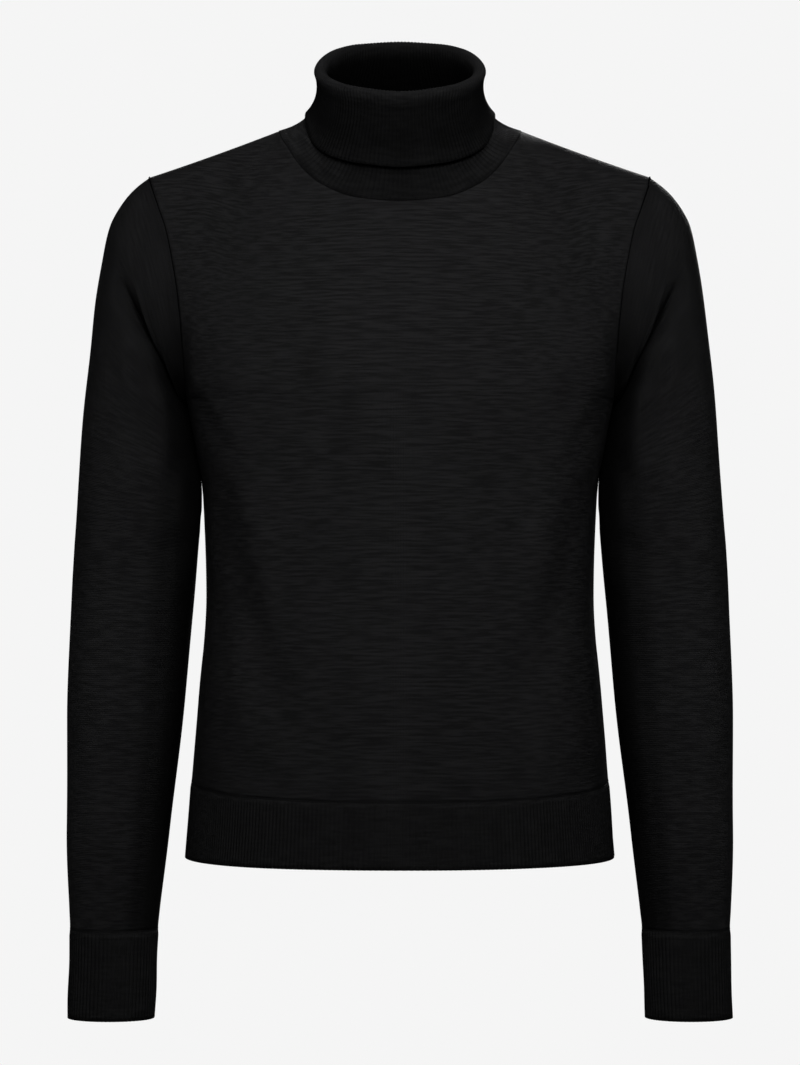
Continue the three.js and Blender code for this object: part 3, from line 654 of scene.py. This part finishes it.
def makeHem(half, node):
    count = hemLook["ribs"] // 2 * hemLook["perRib"]
    column, drop = np.meshgrid(np.linspace(-1, 1, count + 1), np.linspace(0, 1, hemLook["rows"]))
    top = hemTop(half, column)
    points = bodyPoint(half, column, top + (body["hemBottom"] - top) * drop)
    normals = gridNormals(points, False) * half
    area = clothArea(points, False)
    phase = (column + 1) / 2 * (hemLook["ribs"] // 2)
    fade = ease(drop / hemLook["plainShare"] / 2)
    height = body["ribRise"] / 2 * (1 + ribWave(phase)) * fade
    height += hemLook["wave"] * ripple(column * 240, drop * 60, 21 + half, 4, 70, 160) * drop
    points = points + normals * height[..., None]
    points[0, :, 2] -= body["seamGap"] / 2
    points[:, 0, 1] = points[:, -1, 1] = half * body["seamGap"] / 2
    piece = buildGrid(node + "_knit", points, np.stack([column * 245, drop * 62], axis=-1), False, flip=half < 0)
    giveWall(piece, body["ribWall"], -1, ribKnit, shadedReverseKnit)
    return piece, area


# Sleeves and cuffs

arm = {
    "at": [0, 0.06, 0.12, 0.18, 0.25, 0.36, 0.5, 0.6, 0.7, 0.8, 0.9, 1, 1.075, 1.15],
    "innerX": [181, 184, 185, 183, 178, 172, 163, 168.3, 174.6, 183.3, 193.9, 203.3, 204.6, 206.2],
    "innerZ": [-235, -236, -238, -241, -245, -257, -290, -335, -406, -503, -596.5, -678.5, -716, -753],
    "outerX": [213, 225, 235.5, 244, 250.5, 257.7, 266.8, 273.2, 277.2, 280.7, 280.5, 277.1, 277.6, 278.4],
    "outerZ": [-44.3, -52.5, -63, -80, -102, -149, -234, -319, -404, -503, -596.5, -678.5, -716, -753],
    "front": [58, 60, 61, 61, 61, 62, 60, 57, 53, 48, 39, 28, 26, 26],
    "back": [58, 61, 62, 62, 62, 61, 58, 55, 52, 47, 38, 28, 26, 26],
    "midY": [6, 5, 4, 3, 2, 0, -4, -6, -9, -16, -24, -30, -32, -34],
    "blend": 0.2, "clearance": 0.8, "press": 3.0,
    "partZ": -292,                           # below this height daylight shows beside the body
}
armCurves = {key: smoothCurve(arm, "at", key) for key in
             ("innerX", "innerZ", "outerX", "outerZ", "front", "back", "midY")}

sleeveLook = {
    "columns": 132, "wall": 1.2,
    "hollow": 1.9, "hollowReach": 0.46,      # how far the cloth falls in where it faces the body
    # the creases beside the armpit: half, place along the sleeve, reach, depth, where they fade
    "creases": [(-1, 0.266, 0.055, 15.0, 0.52, 0.86), (-1, 0.246, 0.013, 9.0, 0.45, 0.80),
                (1, 0.235, 0.050, 9.0, 0.5, 0.78), (1, 0.231, 0.014, 6.0, 0.4, 0.7)],
    # folds by turn and place in millimetres of cloth: from, to, width, rise
    "folds": [
        (52, 128, 104, 96, 5, -1.5), (60, 140, 112, 108, 5, 1.3), (48, 112, 84, 84, 5, 1.2),
        (70, 168, 96, 214, 11, 2.6), (96, 214, 104, 278, 12, 2.2), (60, 196, 78, 262, 10, -2.0),
        (112, 250, 124, 360, 14, -1.8), (84, 330, 96, 430, 14, 1.6), (40, 300, 62, 372, 12, -1.8),
        (30, 402, 92, 428, 13, -1.8), (44, 440, 108, 462, 12, 1.5), (60, 505, 104, 560, 14, -1.4),
        (226, 190, 272, 258, 13, 2.2), (240, 250, 292, 330, 13, -2.4), (228, 350, 290, 392, 14, 2.2),
        (236, 404, 300, 428, 13, -2.4), (246, 452, 298, 478, 13, 1.8), (230, 540, 282, 590, 14, -1.5),
        (168, 420, 196, 520, 16, 1.2), (12, 330, 20, 430, 12, 1.2),
    ],
    "unevenness": 0.3,
}
cuffLook = {"ribs": 66, "perRib": 8, "rows": 16, "wave": 0.25}


def armholeRing(turn):
    half = np.where(turn <= 0.5, -1.0, 1.0)
    rise = np.where(turn <= 0.5, turn * 2, (1 - turn) * 2)
    return armholePoint(half, 1.0, rise)


def armPoint(turn, at):
    # ovals between an inner and an outer point; turn 0 is the side at the body, 0.25 the front,
    # 0.5 outside and 0.75 the back; near the armhole they turn into its seam's own curve
    ring = {key: curve(at) for key, curve in armCurves.items()}
    angle = turn * 2 * np.pi
    half = np.where(np.sin(angle) >= 0, -1.0, 1.0)
    outward = (1 - np.cos(angle)) / 2
    depth = np.where(half < 0, ring["front"], ring["back"])
    hollow = (1 - ease(outward / sleeveLook["hollowReach"])) * ease((at - 0.18) / 0.08) * ease((0.62 - at) / 0.16)
    power = 0.92 + sleeveLook["hollow"] * hollow
    point = stack(ring["innerX"] + (ring["outerX"] - ring["innerX"]) * outward,
                  ring["midY"] + half * depth * np.abs(np.sin(angle)) ** power,
                  ring["innerZ"] + (ring["outerZ"] - ring["innerZ"]) * outward)
    for side, place, reach, deep, fadeFrom, fadeTo in sleeveLook["creases"]:
        fade = 1 - ease((outward - fadeFrom) / (fadeTo - fadeFrom))
        trough = deep * np.exp(-((at - place) / reach) ** 2) * fade * ease(outward / 0.1)
        point[..., 1] -= np.where(half == side, side * trough, 0)
    blend = (1 - ease(at / arm["blend"]))[..., None]
    return point * (1 - blend) + armholeRing(turn) * blend


def pressToBody(point):
    # keeps the sleeve just clear of the body beside it, with a soft bend where they meet
    x, y, z = point[..., 0], point[..., 1], point[..., 2]
    least = bodySide(y, z) + arm["clearance"] * (0.06 + ease((arm["partZ"] - z) / 40))
    press = np.clip(0.5 + (least - x) / (2 * arm["press"]), 0, 1)
    pushed = np.maximum(least, x) + arm["press"] * press * (1 - press)
    beside = (z < body["armpitZ"]) & (z > body["hemTop"])
    point[..., 0] = np.where(beside, pushed, x)
    return point


def sleeveStops():
    head = np.linspace(0, 0.2, 40, endpoint=False)
    crease = np.linspace(0.2, 0.3, 44, endpoint=False)
    return np.concatenate([head, crease, np.linspace(0.3, 1, 150)])


def makeSleeve(side, node):
    turn, at = np.meshgrid(np.arange(sleeveLook["columns"]) / sleeveLook["columns"], sleeveStops())
    points = armPoint(turn, at)
    normals = -gridNormals(points, True)
    height = softFolds(turn * 350, at * 640, sleeveLook["folds"])
    height += sleeveLook["unevenness"] * ripple(np.sin(turn * 2 * np.pi) * 60, at * 640, 31 + side, 5, 50, 150)
    quiet = ease(at / 0.05) * ease((1 - at) / 0.02)
    points = pressToBody(points + normals * (height * quiet)[..., None])
    area = clothArea(points, True)
    points[0, :, 0] += body["seamGap"] / 2
    points[-1, :, 2] += body["seamGap"] / 2
    points[..., 0] *= side
    turnUv, atUv = np.meshgrid(np.linspace(0, 1, sleeveLook["columns"] + 1), sleeveStops())
    piece = buildGrid(node + "_knit", points, np.stack([turnUv * 350, atUv * 640], axis=-1), True, flip=side > 0)
    giveWall(piece, sleeveLook["wall"], -1, sleeveKnit, shadedReverseKnit)
    return piece, area


def makeCuff(side, node):
    count = cuffLook["ribs"] * cuffLook["perRib"]
    turn, at = np.meshgrid(np.arange(count) / count, np.linspace(1, 1.15, cuffLook["rows"]))
    points = armPoint(turn, at)
    normals = -gridNormals(points, True)
    area = clothArea(points, True)
    fade = ease((at - 1) / 0.01)
    height = body["ribRise"] / 2 * (1 + ribWave(turn * cuffLook["ribs"])) * fade
    height += cuffLook["wave"] * ripple(np.sin(turn * 2 * np.pi) * 30, (at - 1) * 500, 41 + side, 4, 30, 80) * fade
    points = points + normals * height[..., None]
    points[0, :, 2] -= body["seamGap"] / 2
    points[..., 0] *= side
    turnUv, atUv = np.meshgrid(np.linspace(0, 1, count + 1), np.linspace(0, 77, cuffLook["rows"]))
    piece = buildGrid(node + "_knit", points, np.stack([turnUv * 198, atUv], axis=-1), True, flip=side > 0)
    giveWall(piece, body["ribWall"], -1, ribKnit, shadedReverseKnit)
    return piece, area


# Collar

collar = {
    "ribs": 142, "perRib": 6,
    "standRows": 15, "rollRows": 11, "foldRows": 14,
    "crestHalfWidth": 67.3, "crestFront": -61, "crestBack": 41, "rollRadius": 4.5,
    "foldHalfWidth": 85.5, "foldFront": -79.6, "foldBack": 70, "sidePinch": 5,
    "standReach": 0.9, "sideReach": 0.5, "sideDip": 0.2, "waist": 0.3,
    "crestTurn": [0, 33, 60, 90, 129, 150, 180],
    "crestZ": [14.6, 19.8, 29, 43.5, 63.2, 69, 72],
    "turn": [0, 25, 40, 58, 75, 90, 105, 120, 135, 180],
    "z": [-45, -41, -35, -23, -5, 6.5, 13, 17, 18.5, 20],
}
foldEdgeZ = smoothCurve(collar, "turn", "z", flatEnds=True)
crestZ = smoothCurve(collar, "crestTurn", "crestZ", flatEnds=True)


def oval(angle, halfWidth, front, back, z):
    return stack(halfWidth * np.sin(angle), (front + back) / 2 + (front - back) / 2 * np.cos(angle), z)


def neckDirection(turn):
    # the way in which the collar leaves the neck seam, square to the seam in the panel's plane
    fold = np.where(turn > 180, 360 - turn, turn)
    column = shoulder["neckColumn"] / 90
    front = topDirection(-1, np.maximum(column * np.minimum(fold, 90), 1e-6))
    back = topDirection(1, np.maximum(column * np.minimum(180 - fold, 90), 1e-6))
    toTop = np.where((fold <= 90)[..., None], front, back)
    run = unit(neckSeam(np.minimum(fold + 1, 180)) - neckSeam(np.maximum(fold - 1, 0)))
    direction = unit(toTop - run * np.sum(toTop * run, axis=-1, keepdims=True))
    direction[..., 0] *= np.where(turn > 180, -1, 1)
    return direction


def collarPoint(turn, level):
    # the middle of the wall: 0 is the neck seam, 1 the start of the roll, 2 its end and 3 the
    # lower edge of the fold-over
    angle = np.radians(turn)
    fold = np.where(turn > 180, 360 - turn, turn)
    crest = oval(angle, collar["crestHalfWidth"], collar["crestFront"], collar["crestBack"], crestZ(fold))
    outward = unit(stack(np.sin(angle), -0.95 * np.cos(angle), 0.0))
    up = unit(np.array([0.0, 0.0, 1.0]) + outward * 0.1)
    radius = collar["rollRadius"]
    bend = np.clip(level - 1, 0, 1)[..., None] * np.pi
    roll = crest - outward * radius * np.cos(bend) + up * radius * np.sin(bend)

    seam = neckSeam(fold)
    seam[..., 0] *= np.where(turn > 180, -1, 1)
    standTop = crest - outward * radius
    beside = (np.sin(angle) ** 4)[..., None]
    rise = np.linalg.norm(standTop - seam, axis=-1, keepdims=True)
    leave = unit(neckDirection(turn) - np.array([0.0, 0.0, collar["sideDip"]]) * beside)
    leave = leave * rise * (collar["standReach"] + collar["sideReach"] * beside)
    stand = hermite(seam, leave, standTop, up * rise * collar["standReach"], np.clip(level, 0, 1))

    foldTop = crest + outward * radius
    edge = oval(angle, collar["foldHalfWidth"], collar["foldFront"], collar["foldBack"], foldEdgeZ(fold))
    edge = edge - outward * collar["sidePinch"] * beside**2
    drop = np.linalg.norm(edge - foldTop, axis=-1, keepdims=True)
    arrive = unit(np.array([0.0, 0.0, -1.0]) + outward * (0.35 + 0.8 * beside))
    hang = unit(-up - outward * collar["waist"])
    over = hermite(foldTop, hang * drop, edge, arrive * drop, np.clip(level - 2, 0, 1))
    level = level[..., None]
    return np.where(level < 1, stand, np.where(level <= 2, roll, over))


def collarLevels():
    return np.concatenate([np.linspace(0, 1, collar["standRows"], endpoint=False),
                           np.linspace(1, 2, collar["rollRows"], endpoint=False),
                           np.linspace(2, 3, collar["foldRows"])])


def makeCollar(node):
    count = collar["ribs"] * collar["perRib"]
    turn, level = np.meshgrid((np.arange(count) / count * 360 + 180) % 360, collarLevels())
    points = collarPoint(turn, level)
    normals = gridNormals(points, True)
    area = clothArea(points, True)
    fade = ease(level / 0.04)
    height = body["ribRise"] / 2 * ribWave(turn / 360 * collar["ribs"]) * fade
    soft = ripple(np.sin(np.radians(turn)) * 70, np.cos(np.radians(turn)) * 70, 51, 4, 60, 140)
    height += 0.5 * soft * ease((level - 2) / 0.8)
    points = points + normals * height[..., None]
    points[0] += neckDirection(turn[0]) * body["seamGap"] / 2
    turnUv, levelUv = np.meshgrid(np.linspace(0, 1, count + 1), collarLevels())
    piece = buildGrid(node + "_knit", points, np.stack([turnUv * 440, levelUv * 55], axis=-1), True, flip=True)
    giveWall(piece, body["ribWall"], 0, collarKnit, standKnit)
    return piece, area


# Linking stitches along the seams

seamLook = {
    "stitch": 2.2, "ring": 0.75, "sides": 6,
    "width": 0.6, "height": 0.26, "swell": 0.3,      # half widths of the yarn's oval, and its bumps
    "ribWidth": 0.5, "ribHeight": 0.16,               # the flatter yarn where a rib is linked on
    "secondLine": 4.0,                                # how far the sleeve's own stitched line lies off
}


def evenPath(path, outward, step):
    # the same path, and what points out of it, at equal steps along its length
    run = np.concatenate([[0], np.cumsum(np.linalg.norm(np.diff(path, axis=0), axis=1))])
    at = np.linspace(0, run[-1], max(int(run[-1] / step), 8) + 1)
    even, out = (stack(*(np.interp(at, run, values[:, axis]) for axis in range(3))) for values in (path, outward))
    return at, even, out


def makeSeam(name, path, outward, ringed=False, flat=False):
    # an oval yarn along the path, flat on the cloth, swelling once a stitch
    at, even, out = evenPath(path, outward * np.ones_like(path), seamLook["ring"])
    if ringed:
        even, out = even[:-1], out[:-1]
        run = unit(np.roll(even, -1, axis=0) - np.roll(even, 1, axis=0))
    else:
        run = unit(np.gradient(even, axis=0))
    out = unit(out - run * np.sum(out * run, axis=1, keepdims=True))
    flank = np.cross(run, out)
    stitches = round(at[-1] / seamLook["stitch"])
    swell = 1 + seamLook["swell"] * np.cos(2 * np.pi * at[:len(even)] / at[-1] * stitches)
    if not ringed:
        swell[[0, -1]] = 0.02
    angle = np.arange(seamLook["sides"]) / seamLook["sides"] * 2 * np.pi
    across = np.cos(angle)[None, :, None] * flank[:, None] * seamLook["ribWidth" if flat else "width"]
    rise = np.sin(angle)[None, :, None] * out[:, None] * seamLook["ribHeight" if flat else "height"]
    points = even[:, None] + (across + rise) * swell[:, None, None]
    angleUv = np.arange(seamLook["sides"] + 1) * 0.5
    uv = np.stack(np.broadcast_arrays(angleUv[None], at[:, None]), axis=-1)
    piece = buildGrid(name, points, uv, True, flip=True, ringed=ringed)
    piece.data.materials.append(ribKnit if flat else seamYarn)
    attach(piece, "root")
    return piece


def onPanel(half, column, z):
    # the direction straight out of the body at a column
    step = 0.02
    near = bodyPoint(half, np.maximum(column - step, -1), z)
    far = bodyPoint(half, np.minimum(column + step, 1), z)
    run = far - near
    return unit(stack(run[..., 1] * half, -run[..., 0] * half, 0.0)) * -1


def makeSeams():
    share = np.linspace(0, 1, 400)
    turn = share * 360
    fold = np.where(turn > 180, 360 - turn, turn)
    path = neckSeam(fold)
    path[:, 0] *= np.where(turn > 180, -1, 1)
    made = [makeSeam("neck_seam", path, unit(path - np.array([0, 6, -90])), ringed=True)]
    for side, word in ((-1, "left"), (1, "right")):
        ring = armholeRing(share) * (side, 1, 1)
        made.append(makeSeam(word + "_armhole_seam", ring, unit(ring - (side * 165, 6, -150)), ringed=True))
        second = armPoint(share, np.full(400, seamLook["secondLine"] / 640)) * (side, 1, 1)
        made.append(makeSeam(word + "_armhole_stitches", second, unit(second - (side * 165, 6, -150)),
                             ringed=True, flat=True))
        made.append(makeSeam(word + "_shoulder_seam", shoulderLine(share) * (side, 1, 1), (0, 0, 1)))
        z = np.linspace(body["hemTop"], body["armpitZ"], 400)
        made.append(makeSeam(word + "_side_seam", bodyPoint(-1, side + 0 * z, z), (side, 0, 0)))
        cuffRing = armPoint(share, np.ones(400)) * (side, 1, 1)
        middle = cuffRing.mean(axis=0)
        made.append(makeSeam(word + "_cuff_seam", cuffRing, unit((cuffRing - middle) * (1, 1, 0)), ringed=True, flat=True))
    column = np.linspace(-1, 1, 600)
    front = bodyPoint(-1, column, hemTop(-1, column))
    made.append(makeSeam("front_hem_seam", front, onPanel(-1, column, body["hemTop"]), flat=True))
    back = bodyPoint(1, column, hemTop(1, column))
    made.append(makeSeam("back_hem_seam", back, onPanel(1, column, body["hemTop"]), flat=True))
    return made


seams = makeSeams()
print(len(seams), "seams stitched,", sum(len(seam.data.polygons) for seam in seams) * 2, "triangles")


# Every piece replaces its solid, which is hidden; the cloth area each builder works out is not used

builders = {
    "front_body": (makePanel, frontPanel), "back_body": (makePanel, backPanel),
    "front_hem_rib": (makeHem, -1, "front_hem_rib"), "back_hem_rib": (makeHem, 1, "back_hem_rib"),
    "left_sleeve": (makeSleeve, -1, "left_sleeve"), "right_sleeve": (makeSleeve, 1, "right_sleeve"),
    "left_cuff": (makeCuff, -1, "left_cuff"), "right_cuff": (makeCuff, 1, "right_cuff"),
    "collar_rib": (makeCollar, "collar_rib"),
}
for node, (make, *values) in builders.items():
    piece, area = make(*values)
    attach(piece, "root")
    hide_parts(node)


# Studio

studio = {
    "wallY": 5.0, "bend": 1.5, "floorZ": -1.5, "width": 16.0, "front": -6.0, "height": 7.0,
    "pale": 0.913,          # what the camera sees all round, the even pale grey of a studio cut-out
    "ambient": 0.06,        # what the same surroundings give to the cloth
}


def paleShader(tree, kind, look):
    # one brightness for the camera and a much lower one for the light that reaches the cloth
    shader = addNode(tree, kind)
    path = addNode(tree, "ShaderNodeLightPath")
    strength = mathNode(tree, "MULTIPLY", path.outputs["Is Camera Ray"], look["pale"] - look["ambient"])
    tree.links.new(mathNode(tree, "ADD", strength, look["ambient"]), shader.inputs["Strength"])
    shader.inputs["Color"].default_value = (1, 1, 1, 1)
    return shader


def makeBackdrop(look):
    # a profile of floor, quarter bend and wall carried sideways
    bend = np.linspace(0, np.pi / 2, 24)
    y = np.concatenate([[look["front"]], look["wallY"] - look["bend"] * (1 - np.sin(bend)), [look["wallY"]]])
    z = np.concatenate([[look["floorZ"]], look["floorZ"] + look["bend"] * (1 - np.cos(bend)), [look["height"]]])
    x = np.linspace(-look["width"] / 2, look["width"] / 2, 9)
    gridX, gridY = np.meshgrid(x, y)
    gridZ = np.repeat(z[:, None], len(x), axis=1)
    points = stack(gridX, gridY, gridZ) / mm
    piece = buildGrid("backdrop", points, np.stack([gridX, gridZ], axis=-1), False)
    material = bpy.data.materials.new("paleBackdrop")
    material.use_nodes = True
    tree = material.node_tree
    tree.nodes.remove(tree.nodes["Principled BSDF"])
    glow = paleShader(tree, "ShaderNodeEmission", look)
    tree.links.new(glow.outputs[0], tree.nodes["Material Output"].inputs["Surface"])
    piece.data.materials.append(material)


def makeWorld(look):
    world = bpy.data.worlds.new("softWorld")
    world.use_nodes = True
    tree = world.node_tree
    tree.nodes.remove(tree.nodes["Background"])
    glow = paleShader(tree, "ShaderNodeBackground", look)
    tree.links.new(glow.outputs[0], tree.nodes["World Output"].inputs["Surface"])
    bpy.context.scene.world = world


lights = {
    # place, target, size, spread in degrees, power
    "key": ((0.2, -2.5, 0.75), (0, 0, -0.16), 1.2, 52, 8.4),
    "fill": ((-0.5, -2.6, 0.2), (0, 0, -0.3), 1.0, 80, 1.6),
    "top": ((0, -0.7, 1.9), (0, 0, -0.05), 1.2, 90, 4.0),
    "back": ((0.5, 2.6, 0.9), (0, 0, -0.2), 1.3, 60, 4.5),
}


def makeLight(name, place, target, size, spread, power):
    data = bpy.data.lights.new(name, "AREA")
    data.shape, data.size, data.energy = "SQUARE", size, power
    data.spread = np.radians(spread)
    lamp = bpy.data.objects.new(name, data)
    lamp.location = place
    lamp.rotation_euler = (Vector(target) - Vector(place)).to_track_quat("-Z", "Y").to_euler()
    bpy.context.scene.collection.objects.link(lamp)


makeBackdrop(studio)
makeWorld(studio)
for name, values in lights.items():
    makeLight(name, *values)
bpy.context.scene.view_settings.view_transform = "Standard"
bpy.context.scene.view_settings.look = "None"
print("studio ready")
